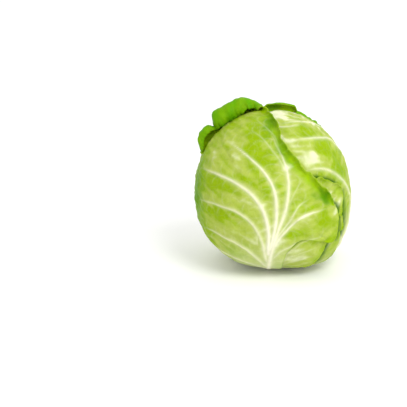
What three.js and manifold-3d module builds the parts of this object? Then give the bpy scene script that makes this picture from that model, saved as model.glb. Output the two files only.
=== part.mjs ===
// A whole head of cabbage standing on its cut stalk: a solid heart on a tapering core, cupped inner
// leaves and eight large wrapper leaves, every leaf a closed curved sheet of its own.
// Millimetres, +Z up, origin at the centre of the cut face of the stalk. Azimuth 0 looks along -Y.
import * as THREE from "three";
import { mergeVertices } from "three/addons/utils/BufferGeometryUtils.js";
import Module from "manifold-3d";

// ---- driving dimensions -------------------------------------------------------------------------
const HEAD_CENTRE_Z = 86; // height of the centre of the ball above the cut face
const HEAD_RADIUS = 84; // ball, to the middle of the outermost leaf
const BASE_DIMPLE = 0.09; // share by which the ball is drawn in around the stalk
const DIMPLE_SPREAD = 20; // degrees from the stalk over which it fades
const BASE_FULLNESS = 0.07; // share by which the lower half is fuller than the ball
const FULLEST_AT = 42; // degrees from the stalk
const FULLNESS_SPREAD = 30;
const BLADE = 1; // thickness of a leaf blade
const LAYER_PITCH = 2.6; // distance from one leaf to the leaf lying on it
const INNER_LEAVES = 4;
const WRAPPER_CLEARANCE = 1.6; // more between the last inner leaf and the first wrapper leaf
const DRAPE = 42; // degrees over which a leaf comes down beyond the margin of one beneath it
const UNDULATION = 0.9; // height of the soft swells of every layer
const PLAIN_STRIP = 2.5; // width of the margin strip where it isn't curled
const PLAIN_BEND = 4; // degrees it still bends outwards there
const CURL_EASE = 12; // degrees over which a curl grows or dies out, unless a roll says otherwise
const RIPPLE = 0.1; // share by which a curl's width and bend vary
const RIPPLES = 9; // round a whole leaf
// Low on the right of the front the head bulges most: where, by how much, and over how many degrees.
const SWELL = { azimuth: 62, elevation: -42, height: 10, spread: 28 };

const HEART_CLEARANCE = 2.6; // from the heart to the innermost leaf
const CORE_CLEARANCE = 0.5; // between heart and core
const STALK_RADIUS = 16.5;
const STALK_CHAMFER = 1.2;
const STALK_NECK_Z = 14; // where the stalk passes into the core of the head
const CORE_TOP_Z = 90;
const CORE_RADIUS = 12;
const STALK_GAP = 14.5; // degrees from the axis at which the wrapper leaves start
const CORE_GAP = 19; // and the inner leaves

const RAD = Math.PI / 180;

// ---- leaves, from the inside out ----------------------------------------------------------------
// outline: [direction, reach] pairs in degrees round the leaf's middle; 0 is up, 90 to the right.
// roll: margin curled outwards, between two directions; width of the curled strip and its bend, and
// the degrees over which the curl grows (rise) and dies out (fall).
const innerLeaf = (number, azimuth) => ({
  name: `inner_leaf_${String(number).padStart(2, "0")}`,
  azimuth,
  elevation: 12,
  outline: [[0, 92], [50, 78], [95, 74], [135, 70], [160, 78], [180, 102 - CORE_GAP], [200, 78], [225, 70],
    [265, 76], [310, 80]],
  rolls: [],
  rings: 9,
  strip: 1,
  segments: 32,
  colour: 0xe9e6a6,
});

const LEAVES = [
  innerLeaf(1, 20),
  innerLeaf(2, 157),
  innerLeaf(3, 295),
  innerLeaf(4, 72),
  {
    name: "wrapper_leaf_back_left",
    azimuth: 232,
    elevation: 18,
    outline: [[0, 78], [40, 74], [80, 72], [120, 66], [150, 70], [180, 108 - STALK_GAP], [207, 72],
      [235, 64], [275, 70], [320, 80]],
    rolls: [],
    colour: 0xb6cf62,
  },
  {
    name: "wrapper_leaf_back_right",
    azimuth: 150,
    elevation: 16,
    outline: [[0, 84], [40, 76], [80, 66], [115, 62], [150, 68], [180, 106 - STALK_GAP], [206, 74],
      [235, 66], [275, 68], [320, 76]],
    rolls: [],
    colour: 0xb9d264,
  },
  {
    name: "wrapper_leaf_left",
    azimuth: 284,
    elevation: 14,
    outline: [[0, 74], [40, 66], [80, 62], [120, 60], [152, 68], [180, 104 - STALK_GAP], [208, 70],
      [240, 62], [280, 66], [320, 70]],
    rolls: [],
    rings: 10,
    colour: 0xaecb58,
  },
  {
    name: "wrapper_leaf_right",
    azimuth: 55,
    elevation: 38,
    outline: [[-90, 46], [-60, 50], [-34, 54], [-14, 62], [0, 68], [7, 65.5], [12, 60.5], [18, 55],
      [24, 50.5], [31, 48.5], [40, 50.5], [52, 55], [75, 66], [100, 76], [125, 84], [150, 96],
      [168, 104], [180, 128 - STALK_GAP], [194, 96], [215, 70], [240, 54]],
    rolls: [{ from: 5, to: 31, width: 28, bend: 250, rise: 5, fall: 5 }],
    rings: 8,
    strip: 7,
    segments: 44,
    colour: 0xc0d96a,
  },
  {
    name: "wrapper_leaf_lower_right",
    azimuth: 40,
    elevation: -14,
    outline: [[-60, 44], [-30, 38], [-13, 33], [4, 30], [25, 27.8], [42, 26.3], [54, 23.8], [71, 18.5],
      [101, 18.3], [125, 22], [140, 30], [160, 48], [180, 76 - STALK_GAP], [205, 56], [235, 48], [270, 46]],
    rolls: [{ from: -22, to: 124, width: 4.5, bend: 60 }],
    colour: 0xb4d25a,
  },
  {
    name: "wrapper_leaf_back",
    azimuth: 192,
    elevation: 2,
    outline: [[0, 57], [30, 56], [60, 58], [90, 56], [122, 56], [152, 64], [180, 92 - STALK_GAP],
      [208, 66], [238, 58], [270, 60], [300, 60], [330, 56]],
    rolls: [{ from: -88, to: -2, width: 14, bend: 140 }],
    strip: 4,
    segments: 40,
    colour: 0xb2cf5c,
  },
  {
    name: "wrapper_leaf_bottom",
    azimuth: 10,
    elevation: -40,
    outline: [[0, 22], [36, 24], [60, 29], [73, 29.5], [84, 27.3], [98, 24], [110, 22], [124, 21],
      [147, 22], [165, 28], [180, 50 - STALK_GAP], [200, 30], [240, 30], [280, 32], [320, 28]],
    rolls: [{ from: 66, to: 138, width: 3.5, bend: 70, rise: 8, fall: 8 }],
    colour: 0xc4dc78,
  },
  {
    name: "wrapper_leaf_front",
    azimuth: -12,
    elevation: 12,
    outline: [[-90, 80], [-66, 81], [-47, 84], [-33, 86.5], [-19, 88], [-10, 83], [-4, 69], [2, 57],
      [9, 47.5], [21, 37.5], [34, 33.7], [47, 33], [60, 34], [72, 37.5], [84, 43.5], [92, 50], [98, 58],
      [104, 64.5], [112, 66.5], [119, 68], [124, 68.5], [128, 60], [132, 52.5], [138, 48.5], [145, 47.5],
      [151, 48.5], [157, 51.5], [163, 58], [169, 71], [180, 102 - STALK_GAP], [198, 74], [216, 68],
      [240, 76]],
    rolls: [
      { from: -49, to: -3, width: 52, bend: 320, rise: 8, fall: 21 },
      { from: -69, to: -44, width: 36, bend: 300, rise: 13, fall: 5 },
      { from: -8, to: 102, width: 9, bend: 105, rise: 8, fall: 10 },
      { from: 104, to: 127, width: 4.5, bend: 60, rise: 6, fall: 3 },
    ],
    rings: 9,
    strip: 9,
    segments: 60,
    colour: 0xbdd85e,
  },
];

// ---- shape of the head --------------------------------------------------------------------------
const smooth = (from, to, x) => {
  const t = Math.min(1, Math.max(0, (x - from) / (to - from)));
  return t * t * (3 - 2 * t);
};

// The leaf's own chart of the ball: its middle, the way up and the way to the right.
function chartOf({ azimuth, elevation }) {
  const a = azimuth * RAD, e = elevation * RAD;
  return {
    middle: new THREE.Vector3(Math.sin(a) * Math.cos(e), -Math.cos(a) * Math.cos(e), Math.sin(e)),
    up: new THREE.Vector3(-Math.sin(a) * Math.sin(e), Math.cos(a) * Math.sin(e), Math.cos(e)),
    right: new THREE.Vector3(Math.cos(a), Math.sin(a), 0),
  };
}

// Reach of the blade in one direction: a periodic cubic through the outline's pairs.
function reachAt(outline, direction) {
  const n = outline.length;
  const start = outline[0][0];
  const d = start + ((((direction - start) % 360) + 360) % 360);
  let i = 0;
  while (i < n - 1 && outline[i + 1][0] <= d) i++;
  const at = (j) => {
    const k = ((j % n) + n) % n;
    return [outline[k][0] + 360 * Math.floor(j / n), outline[k][1]];
  };
  const [x0, y0] = at(i), [x1, y1] = at(i + 1);
  const slope = (j) => {
    const [xa, ya] = at(j - 1), [xb, yb] = at(j + 1);
    return (yb - ya) / (xb - xa);
  };
  const h = x1 - x0, t = (d - x0) / h;
  const t2 = t * t, t3 = t2 * t;
  return (2 * t3 - 3 * t2 + 1) * y0 + (t3 - 2 * t2 + t) * h * slope(i)
    + (-2 * t3 + 3 * t2) * y1 + (t3 - t2) * h * slope(i + 1);
}

// How much of the leaf lies under a direction: 1 on the blade, fading to 0 well outside it.
function coverage(leaf, d) {
  const { middle, up, right } = leaf.chart;
  const reach = Math.acos(Math.min(1, Math.max(-1, d.dot(middle)))) / RAD;
  const direction = Math.atan2(d.dot(right), d.dot(up)) / RAD;
  return smooth(-DRAPE, 0, reachAt(leaf.outline, direction) - reach);
}

// Radius of the whole head, fuller low down, fullest at the swell, and drawn in round the stalk.
const swelling = chartOf(SWELL).middle;
function headRadius(d) {
  const fromStalk = Math.acos(Math.min(1, Math.max(-1, -d.z))) / RAD;
  const dimple = BASE_DIMPLE * Math.exp(-((fromStalk / DIMPLE_SPREAD) ** 2));
  const fullness = BASE_FULLNESS * Math.exp(-(((fromStalk - FULLEST_AT) / FULLNESS_SPREAD) ** 2));
  const off = Math.acos(Math.min(1, Math.max(-1, d.dot(swelling)))) / RAD;
  const swell = SWELL.height * Math.exp(-((off / SWELL.spread) ** 2));
  const waves = Math.sin(3.1 * d.x + 1.3) * Math.cos(2.7 * d.y - 0.4)
    + 0.5 * Math.sin(4.3 * d.z + 2 * d.x);
  return HEAD_RADIUS * (1 - dimple + fullness) + UNDULATION * waves + swell;
}

// A leaf lies under the head's surface by one pitch for every leaf over it.
function layerRadius(order, d) {
  let r = headRadius(d) - (order < INNER_LEAVES ? WRAPPER_CLEARANCE : 0);
  for (let i = order + 1; i < LEAVES.length; i++) r -= LAYER_PITCH * coverage(LEAVES[i], d);
  return r;
}

// Width (mm) and bend (radians) of the margin strip in one direction. A curl reaches its full bend
// while it is still narrow, so that it tapers off as a closed cone.
function marginAt(leaf, direction) {
  let width = PLAIN_STRIP, bend = PLAIN_BEND * RAD;
  const ripple = 1 + RIPPLE * Math.sin(direction * RAD * RIPPLES + leaf.azimuth);
  for (const roll of leaf.rolls) {
    const into = ((((direction - roll.from + 180) % 360) + 360) % 360) - 180;
    const left = roll.to - roll.from - into;
    const strength = smooth(0, roll.rise ?? CURL_EASE, into) * smooth(0, roll.fall ?? CURL_EASE, left);
    width = Math.max(width, PLAIN_STRIP + strength * (roll.width * ripple - PLAIN_STRIP));
    bend = Math.max(bend, smooth(0, 0.25, strength) * roll.bend * RAD * ripple);
  }
  return { width, bend };
}

// Direction from the centre of the head to a share of the way from a leaf's middle to its margin.
function directionTo(leaf, direction, share) {
  const { middle, up, right } = leaf.chart;
  const away = up.clone().multiplyScalar(Math.cos(direction * RAD))
    .addScaledVector(right, Math.sin(direction * RAD));
  const reach = reachAt(leaf.outline, direction) * share * RAD;
  return middle.clone().multiplyScalar(Math.cos(reach)).addScaledVector(away, Math.sin(reach));
}

// A point of the middle surface of the blade and its outward normal.
function bladePoint(leaf, order, direction, share, strip) {
  const d = directionTo(leaf, direction, share);
  const point = d.clone().multiplyScalar(layerRadius(order, d));
  if (!strip) return { point, normal: d };
  const along = directionTo(leaf, direction + 2, 1).sub(directionTo(leaf, direction - 2, 1));
  const outwards = d.clone().cross(along).normalize();
  const { width, bend } = marginAt(leaf, direction);
  const turned = bend * strip, radius = width / bend;
  point.addScaledVector(outwards, radius * Math.sin(turned));
  point.addScaledVector(d, radius * (1 - Math.cos(turned)));
  const normal = d.clone().multiplyScalar(Math.cos(turned)).addScaledVector(outwards, -Math.sin(turned));
  return { point, normal };
}

// Directions round a leaf that divide its outline into equal lengths.
function evenDirections(leaf, count) {
  const fine = 720, lengths = [0];
  const outline = Array.from({ length: fine + 1 }, (_, i) => directionTo(leaf, (360 * i) / fine, 1));
  for (let i = 0; i < fine; i++) lengths.push(lengths[i] + outline[i].distanceTo(outline[i + 1]));
  const directions = [];
  for (let s = 0, i = 0; s < count; s++) {
    const target = (lengths[fine] * s) / count;
    while (lengths[i + 1] <= target) i++;
    directions.push((360 / fine) * (i + (target - lengths[i]) / (lengths[i + 1] - lengths[i])));
  }
  return directions;
}

// ---- meshes -------------------------------------------------------------------------------------
function closedSheet(leaf, order) {
  const { rings = 8, strip = 2, segments = 36 } = leaf;
  const rows = rings + strip, positions = [], index = [];
  const directions = evenDirections(leaf, segments);
  for (const side of [0.5, -0.5]) {
    const push = ({ point, normal }) => {
      const p = point.clone().addScaledVector(normal, side * BLADE);
      positions.push(p.x, p.y, p.z + HEAD_CENTRE_Z);
    };
    push(bladePoint(leaf, order, 0, 0, 0));
    for (let row = 1; row <= rows; row++) {
      const share = Math.min(1, row / rings), onStrip = Math.max(0, row - rings) / strip;
      for (const direction of directions) push(bladePoint(leaf, order, direction, share, onStrip));
    }
  }
  const half = 1 + rows * segments;
  const at = (side, row, s) => side * half + (row ? 1 + (row - 1) * segments + (s % segments) : 0);
  for (let s = 0; s < segments; s++) {
    for (const side of [0, 1]) {
      const face = (a, b, c) => (side ? index.push(a, c, b) : index.push(a, b, c));
      face(at(side, 0, 0), at(side, 1, s + 1), at(side, 1, s));
      for (let row = 1; row < rows; row++) {
        face(at(side, row, s), at(side, row, s + 1), at(side, row + 1, s));
        face(at(side, row, s + 1), at(side, row + 1, s + 1), at(side, row + 1, s));
      }
    }
    index.push(at(0, rows, s), at(0, rows, s + 1), at(1, rows, s));
    index.push(at(0, rows, s + 1), at(1, rows, s + 1), at(1, rows, s));
  }
  return indexed(positions, index);
}

function indexed(positions, index) {
  const geometry = new THREE.BufferGeometry();
  geometry.setAttribute("position", new THREE.Float32BufferAttribute(positions, 3));
  geometry.setIndex(index);
  return geometry;
}

function turned(profile, segments) {
  const geometry = new THREE.LatheGeometry(profile.map(([r, z]) => new THREE.Vector2(r, z)), segments);
  return geometry.rotateX(Math.PI / 2);
}

// Outline of stalk and core from the cut face up, [radius, z].
const CORE_PROFILE = [
  [0, 0], [STALK_RADIUS - STALK_CHAMFER, 0], [STALK_RADIUS, STALK_CHAMFER], [STALK_RADIUS, 6],
  [STALK_RADIUS - 2, STALK_NECK_Z], [CORE_RADIUS + 1, 24], [CORE_RADIUS, 42], [CORE_RADIUS - 3, 66],
  [CORE_RADIUS - 6, 82], [3, CORE_TOP_Z - 2], [0, CORE_TOP_Z],
];

// The heart fills the innermost leaf and fits round the core.
function heartSolid() {
  const columns = 32, rows = 18, positions = [], index = [];
  for (let row = 0; row <= rows; row++)
    for (let c = 0; c < columns; c++) {
      const polar = (Math.PI * row) / rows, around = (2 * Math.PI * c) / columns;
      const d = new THREE.Vector3(Math.sin(polar) * Math.cos(around), Math.sin(polar) * Math.sin(around),
        -Math.cos(polar));
      const p = d.clone().multiplyScalar(layerRadius(-1, d) - HEART_CLEARANCE);
      positions.push(p.x, p.y, p.z + HEAD_CENTRE_Z);
    }
  const at = (row, c) => (row === 0 ? 0 : row === rows ? rows * columns : row * columns + (c % columns));
  for (let row = 0; row < rows; row++)
    for (let c = 0; c < columns; c++) {
      if (row > 0) index.push(at(row, c), at(row, c + 1), at(row + 1, c));
      if (row < rows - 1) index.push(at(row, c + 1), at(row + 1, c + 1), at(row + 1, c));
    }
  const bore = CORE_PROFILE.map(([r, z]) => [r ? r + CORE_CLEARANCE : 0, z ? z + CORE_CLEARANCE : -1]);
  return subtract(indexed(positions, index), turned(bore, 32));
}

// ---- solids --------------------------------------------------------------------------------------
const wasm = await Module();
wasm.setup();

function solidOf(geometry) {
  const bare = geometry.clone();
  bare.deleteAttribute("normal");
  bare.deleteAttribute("uv");
  const merged = mergeVertices(bare, 1e-4);
  return new wasm.Manifold(new wasm.Mesh({
    numProp: 3,
    vertProperties: new Float32Array(merged.attributes.position.array),
    triVerts: new Uint32Array(merged.index.array),
  }));
}

function subtract(geometry, tool) {
  const { vertProperties, triVerts } = solidOf(geometry).subtract(solidOf(tool)).getMesh();
  return indexed(vertProperties, Array.from(triVerts));
}

function named(name, geometry, colour, roughness) {
  const material = new THREE.MeshStandardMaterial({ color: colour, roughness, metalness: 0 });
  const mesh = new THREE.Mesh(geometry, material);
  mesh.name = name;
  return mesh;
}

const head = new THREE.Group();
head.name = "cabbage_head";
head.add(named("stalk", turned(CORE_PROFILE, 32), 0xe8e8c4, 0.6));
for (const leaf of LEAVES) leaf.chart = chartOf(leaf);
head.add(named("heart", heartSolid(), 0xf0ecb4, 0.55));
LEAVES.forEach((leaf, order) => head.add(named(leaf.name, closedSheet(leaf, order), leaf.colour, 0.42)));

export default head;
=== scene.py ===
"""Head of white cabbage on its cut stalk: wrapper leaves nested on one another, ribbed and curled.

Lengths inside the leaf classes are millimetres and angles degrees, as leaf shapes are easiest to read
that way; meshes are written in metres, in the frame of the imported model. Azimuth 0 looks along -Y.
"""
import logging
import math
from dataclasses import dataclass, field
from enum import Enum
from typing import ClassVar

import bmesh
import bpy
import numpy as np
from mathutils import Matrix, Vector


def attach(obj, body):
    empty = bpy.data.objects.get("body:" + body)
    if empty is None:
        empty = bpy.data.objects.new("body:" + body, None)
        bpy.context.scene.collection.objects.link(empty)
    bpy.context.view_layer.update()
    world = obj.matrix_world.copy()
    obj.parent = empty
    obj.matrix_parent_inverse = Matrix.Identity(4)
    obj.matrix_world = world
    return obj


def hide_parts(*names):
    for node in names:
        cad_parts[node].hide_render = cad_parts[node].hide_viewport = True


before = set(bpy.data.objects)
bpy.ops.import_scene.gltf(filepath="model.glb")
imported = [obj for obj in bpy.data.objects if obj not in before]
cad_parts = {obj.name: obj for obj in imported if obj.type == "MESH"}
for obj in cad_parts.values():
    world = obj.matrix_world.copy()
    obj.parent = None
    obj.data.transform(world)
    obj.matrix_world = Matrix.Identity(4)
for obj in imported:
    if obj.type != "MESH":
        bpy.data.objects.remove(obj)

LOG = logging.getLogger("cabbage")
MM = 0.001
LEAF_MAP_MM = 400.0  # the leaf map runs 0 to 1 over this many millimetres
TINY = 1e-6  # shorter than any real length, to keep divisions safe


# ---- small helpers -----------------------------------------------------------------------------


def linear(code: str) -> tuple[float, float, float, float]:
    """Turn an sRGB hex colour into linear RGBA.

    Args:
        code: Colour as "#rrggbb".

    Returns:
        Linear red, green, blue and an alpha of 1.
    """
    parts = [int(code[i : i + 2], 16) / 255 for i in (1, 3, 5)]
    return (*(p / 12.92 if p <= 0.04045 else ((p + 0.055) / 1.055) ** 2.4 for p in parts), 1.0)


def smooth(start: float, stop: float, x: np.ndarray) -> np.ndarray:
    """Ease from 0 at start to 1 at stop.

    Args:
        start: Where the rise begins.
        stop: Where it ends.
        x: Values to ease.

    Returns:
        Eased values between 0 and 1.
    """
    t = np.clip((x - start) / (stop - start), 0.0, 1.0)
    return t * t * (3 - 2 * t)


def swell(points: np.ndarray, wavelength: float, seed: int, waves: int = 20) -> np.ndarray:
    """Smooth noise of one wavelength, made of seeded plane waves.

    Args:
        points: Points, one row each.
        wavelength: Mean wavelength in the unit of the points.
        seed: Seed of the directions and phases.
        waves: How many waves are added.

    Returns:
        One value a point, mostly between -1 and 1.
    """
    rng = np.random.default_rng(seed)
    ways = rng.normal(size=(waves, points.shape[1]))
    wave_numbers = 2 * math.pi / wavelength * rng.uniform(0.7, 1.35, waves)
    ways *= (wave_numbers / np.linalg.norm(ways, axis=1))[:, None]
    phases = rng.uniform(0, 2 * math.pi, waves)
    return np.cos(points @ ways.T + phases).sum(axis=1) / math.sqrt(waves)


def add_node(tree: bpy.types.NodeTree, kind: str, links: dict | None = None,
             **settings: object) -> bpy.types.Node:
    """Add a node with its settings and links.

    Args:
        tree: Node tree that gets the node.
        kind: Blender's node type name.
        links: Input name or number to a value or an output socket.
        **settings: Attributes of the node, such as operation.

    Returns:
        The new node.
    """
    node = tree.nodes.new(kind)
    for key, value in settings.items():
        setattr(node, key, value)
    for key, value in (links or {}).items():
        socket = node.inputs[key]
        if isinstance(value, bpy.types.NodeSocket):
            tree.links.new(value, socket)
        else:
            socket.default_value = value
    return node


# ---- shape of the head -------------------------------------------------------------------------


def direction_at(azimuth: float, elevation: float) -> np.ndarray:
    """Unit vector at an azimuth from -Y towards +X and an elevation, in degrees."""
    a, e = math.radians(azimuth), math.radians(elevation)
    return np.array([math.sin(a) * math.cos(e), -math.cos(a) * math.cos(e), math.sin(e)])


@dataclass(frozen=True)
class HeadShape:
    """Surface the outermost leaves lie on: a ball drawn in round the stalk and fuller low down."""

    centre_z: float = 86.0
    radius: float = 84.0
    base_dimple: float = 0.09
    dimple_spread: float = 20.0
    base_fullness: float = 0.07
    fullest_at: float = 42.0
    fullness_spread: float = 30.0
    undulation: float = 0.9
    swell_azimuth: float = 62.0
    swell_elevation: float = -42.0
    swell_height: float = 10.0
    swell_spread: float = 28.0

    @property
    def mm_per_degree(self) -> float:
        """Length of one degree on the ball."""
        return self.radius * math.pi / 180

    def surface(self, d: np.ndarray) -> np.ndarray:
        """Radius of the head along directions.

        Args:
            d: Unit directions from the middle of the head, one row each.

        Returns:
            Radius in mm along each.
        """
        from_stalk = np.degrees(np.arccos(np.clip(-d[:, 2], -1, 1)))
        dimple = self.base_dimple * np.exp(-((from_stalk / self.dimple_spread) ** 2))
        from_fullest = (from_stalk - self.fullest_at) / self.fullness_spread
        fullness = self.base_fullness * np.exp(-(from_fullest**2))
        waves = np.sin(3.1 * d[:, 0] + 1.3) * np.cos(2.7 * d[:, 1] - 0.4)
        waves += 0.5 * np.sin(4.3 * d[:, 2] + 2 * d[:, 0])
        swelling = direction_at(self.swell_azimuth, self.swell_elevation)
        off = np.degrees(np.arccos(np.clip(d @ swelling, -1, 1)))
        lean = self.swell_height * np.exp(-((off / self.swell_spread) ** 2))
        return self.radius * (1 - dimple + fullness) + self.undulation * waves + lean


@dataclass(frozen=True)
class Roll:
    """Stretch of margin that curls outwards, between two directions from the middle of the leaf.

    The gap shade is how far, in mm, the painted shade on the leaf beneath reaches beside it.
    """

    start: float
    stop: float
    width: float
    bend: float
    rise: float = 12.0
    fall: float = 12.0
    gap: float = 3.0

    def strength(self, direction: np.ndarray) -> np.ndarray:
        """How fully the margin is curled in each direction, 0 to 1.

        Args:
            direction: Directions on the leaf, in degrees.

        Returns:
            Shares from 0 to 1.
        """
        into = (direction - self.start + 180) % 360 - 180
        left = self.stop - self.start - into
        return smooth(0, self.rise, into) * smooth(0, self.fall, left)


@dataclass(frozen=True)
class Rib:
    """Vein as a curve on the flattened leaf, from thick end to thin end."""

    points: tuple[tuple[float, float], ...]
    width: float
    height: float
    end_share: float = 0.25
    rank: float = 1.0

    def curve(self, steps: int = 6) -> np.ndarray:
        """Smooth curve through the points, in degrees of up and right.

        Args:
            steps: Steps between one point and the next.

        Returns:
            Places on the flattened leaf.
        """
        p = np.array(self.points, float)
        p = np.vstack([2 * p[0] - p[1], p, 2 * p[-1] - p[-2]])
        t = np.linspace(0, 1, steps, endpoint=False)[:, None]
        pieces = []
        for a, b, c, e in zip(p, p[1:], p[2:], p[3:]):
            pieces.append(0.5 * (2 * b + (c - a) * t + (2 * a - 5 * b + 4 * c - e) * t**2
                                 + (3 * b - 3 * c + e - a) * t**3))
        return np.vstack([*pieces, p[-2:-1]])


@dataclass(frozen=True)
class Blot:
    """Soft patch of the blade: milky bloom, partly painted light and highlight, and deep green, partly
    painted shade.
    """

    up: float
    right: float
    long: float
    across: float
    turn: float = 0.0
    milk_and_light: float = 0.0
    deep_green_and_shade: float = 0.0

    def share(self, flat: np.ndarray) -> np.ndarray:
        """How fully the patch covers places on the flattened leaf, given in degrees.

        Args:
            flat: Places as degrees up and right.

        Returns:
            Shares from 0 to 1.
        """
        t = math.radians(self.turn)
        off = flat - [self.up, self.right]
        along = off @ [math.cos(t), math.sin(t)]
        aside = off @ [-math.sin(t), math.cos(t)]
        return np.exp(-((along / self.long) ** 2) - (aside / self.across) ** 2)


class Place(Enum):
    """Where a leaf sits in the head, which sets its colours."""

    WRAPPER = "wrapper leaf"
    INNER = "inner leaf"


@dataclass
class Leaf:
    """One leaf: its place on the ball, outline, curled margins and ribs.

    TURN are the directions at which the wobble of the margin is worked out, EDGE_WAVES its wavelengths on
    a circle of radius 1 and its heights in degrees, and FLATTEST the bend of a margin that isn't curled.
    """

    TURN: ClassVar[np.ndarray] = np.arange(0, 360.5, 0.5)
    EDGE_WAVES: ClassVar[tuple[tuple[float, float], ...]] = ((1.1, 0.8), (0.28, 0.35), (0.09, 0.14))
    FLATTEST: ClassVar[float] = math.radians(4)

    name: str
    azimuth: float
    elevation: float
    outline: tuple[tuple[float, float], ...]
    rolls: tuple[Roll, ...] = ()
    ribs: tuple[Rib, ...] = ()
    blots: tuple[Blot, ...] = ()
    place: Place = Place.WRAPPER
    cells: int = 190
    seed: int = 1
    midrib_lean: float = 0.0
    vigour: float = 1.0
    plain_strip: float = 2.5
    # Painted shade beside a margin that isn't curled reaches this many mm.
    plain_gap: float = 5.0

    def __post_init__(self) -> None:
        """Work out the leaf's own chart of the ball."""
        self.middle = direction_at(self.azimuth, self.elevation)
        self.up = direction_at(self.azimuth, self.elevation + 90)
        self.right = direction_at(self.azimuth + 90, 0)
        turn = np.radians(self.TURN)
        around = np.stack([np.cos(turn), np.sin(turn)], axis=1)
        self.edge = sum(height * swell(around, length, self.seed * 7 + k)
                        for k, (length, height) in enumerate(self.EDGE_WAVES))

    def wobble(self, direction: np.ndarray) -> np.ndarray:
        """Small irregularities of the outline, in degrees of reach."""
        return np.interp(direction % 360, self.TURN, self.edge)

    def reach(self, direction: np.ndarray) -> np.ndarray:
        """Reach of the blade in each direction: a periodic cubic through the outline's pairs.

        Args:
            direction: Directions from the middle of the leaf, 0 up and 90 to the right.

        Returns:
            Angle on the ball from the middle of the leaf to its margin.
        """
        pairs = np.array(self.outline, float)
        x = np.concatenate([pairs[-2:, 0] - 360, pairs[:, 0], pairs[:2, 0] + 360])
        y = np.concatenate([pairs[-2:, 1], pairs[:, 1], pairs[:2, 1]])
        slope = np.zeros_like(y)
        slope[1:-1] = (y[2:] - y[:-2]) / (x[2:] - x[:-2])
        d = pairs[0, 0] + (direction - pairs[0, 0]) % 360
        i = np.clip(np.searchsorted(x, d, side="right") - 1, 1, len(x) - 3)
        h = x[i + 1] - x[i]
        t = (d - x[i]) / h
        return ((2 * t**3 - 3 * t**2 + 1) * y[i] + (t**3 - 2 * t**2 + t) * h * slope[i]
                + (-2 * t**3 + 3 * t**2) * y[i + 1] + (t**3 - t**2) * h * slope[i + 1])

    def ray(self, direction: np.ndarray, reach: np.ndarray) -> np.ndarray:
        """Unit vectors at a reach (degrees) from the middle of the leaf, in each direction."""
        a, r = np.radians(direction)[:, None], np.radians(reach)[:, None]
        return np.cos(r) * self.middle + np.sin(r) * (np.cos(a) * self.up + np.sin(a) * self.right)

    def coverage(self, d: np.ndarray, drape: float) -> np.ndarray:
        """How much of the leaf lies over each direction: 1 on the blade, fading outside it.

        Args:
            d: Directions from the middle of the head.
            drape: Degrees over which it fades.

        Returns:
            Shares from 0 to 1.
        """
        reach = np.degrees(np.arccos(np.clip(d @ self.middle, -1, 1)))
        direction = np.degrees(np.arctan2(d @ self.right, d @ self.up))
        return smooth(-drape, 0, self.reach(direction) - reach)

    def margin(self, direction: np.ndarray) -> tuple[np.ndarray, np.ndarray]:
        """Width (mm) and bend (radians) of the margin strip in each direction.

        Args:
            direction: Directions on the leaf, in degrees.

        Returns:
            Widths and bends.
        """
        width = np.full_like(direction, self.plain_strip)
        bend = np.full_like(direction, self.FLATTEST)
        ripple = 1 + 0.1 * np.sin(np.radians(direction) * 9 + self.azimuth)
        for roll in self.rolls:
            strength = roll.strength(direction)
            wider = roll.width * ripple - self.plain_strip
            width = np.maximum(width, self.plain_strip + strength * wider)
            bend = np.maximum(bend, smooth(0, 0.25, strength) * math.radians(roll.bend) * ripple)
        return width, bend

    def gap_depth(self, direction: np.ndarray) -> np.ndarray:
        """How far, in mm, the painted shade on the leaf beneath reaches beside the margin in each direction.

        Args:
            direction: Directions on the leaf, in degrees.

        Returns:
            Depths in mm.
        """
        depth = np.full_like(direction, self.plain_gap)
        for roll in self.rolls:
            depth += roll.strength(direction) * (roll.gap - depth)
        return depth

    def all_ribs(self) -> list[Rib]:
        """The listed ribs, or a grown set, with small side veins added to both.

        Returns:
            Main ribs, then side veins.
        """
        rng = np.random.default_rng(self.seed)
        main = list(self.ribs) or self.grown_ribs(rng)
        return main + self.side_veins(main, rng)

    def grown_ribs(self, rng: np.random.Generator) -> list[Rib]:
        """Midrib and secondary ribs that run beside it, then arch out to the margin.

        Args:
            rng: Source of the small irregularities.

        Returns:
            The ribs, midrib first.
        """
        foot = float(self.reach(np.array([180.0]))[0])
        tip = float(self.reach(np.array([0.0]))[0])
        heights = np.linspace(-foot, 0.86 * tip, 8)
        lean = self.midrib_lean * np.sin(np.linspace(0, 2.6, 8)) + rng.normal(0, 0.7, 8)
        ribs = [Rib(tuple(zip(heights, lean)), width=7.0, height=2.6 * self.vigour, end_share=0.12,
                    rank=self.vigour)]
        for side in (-1, 1):
            for k, spread in enumerate((148, 126, 104, 82, 61, 42, 24)):
                way = side * (spread + rng.normal(0, 3.5))
                up_the_midrib = ((k + 0.35 * (side > 0)) / 6.6) ** 0.9
                start = -foot * 0.86 + (foot * 0.86 + 0.52 * tip) * up_the_midrib
                begin = np.array([start, float(np.interp(start, heights, lean))])
                heading = np.array([math.cos(math.radians(way)), math.sin(math.radians(way))])
                end = 0.9 * float(self.reach(np.array([way]))[0]) * heading
                length = float(np.linalg.norm(end - begin))
                knee = begin + np.array([0.42 * length, 0.16 * (end[1] - begin[1])])
                t = np.linspace(0, 1, 7)[:, None]
                path = (1 - t) ** 2 * begin + 2 * t * (1 - t) * knee + t**2 * end
                path += rng.normal(0, 0.35, path.shape) * (t * (1 - t) * 4)
                ribs.append(Rib(tuple(map(tuple, path)), width=3.6 - 0.25 * k, end_share=0.2,
                                height=(1.25 - 0.11 * k) * self.vigour, rank=0.8 * self.vigour))
        return ribs

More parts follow.
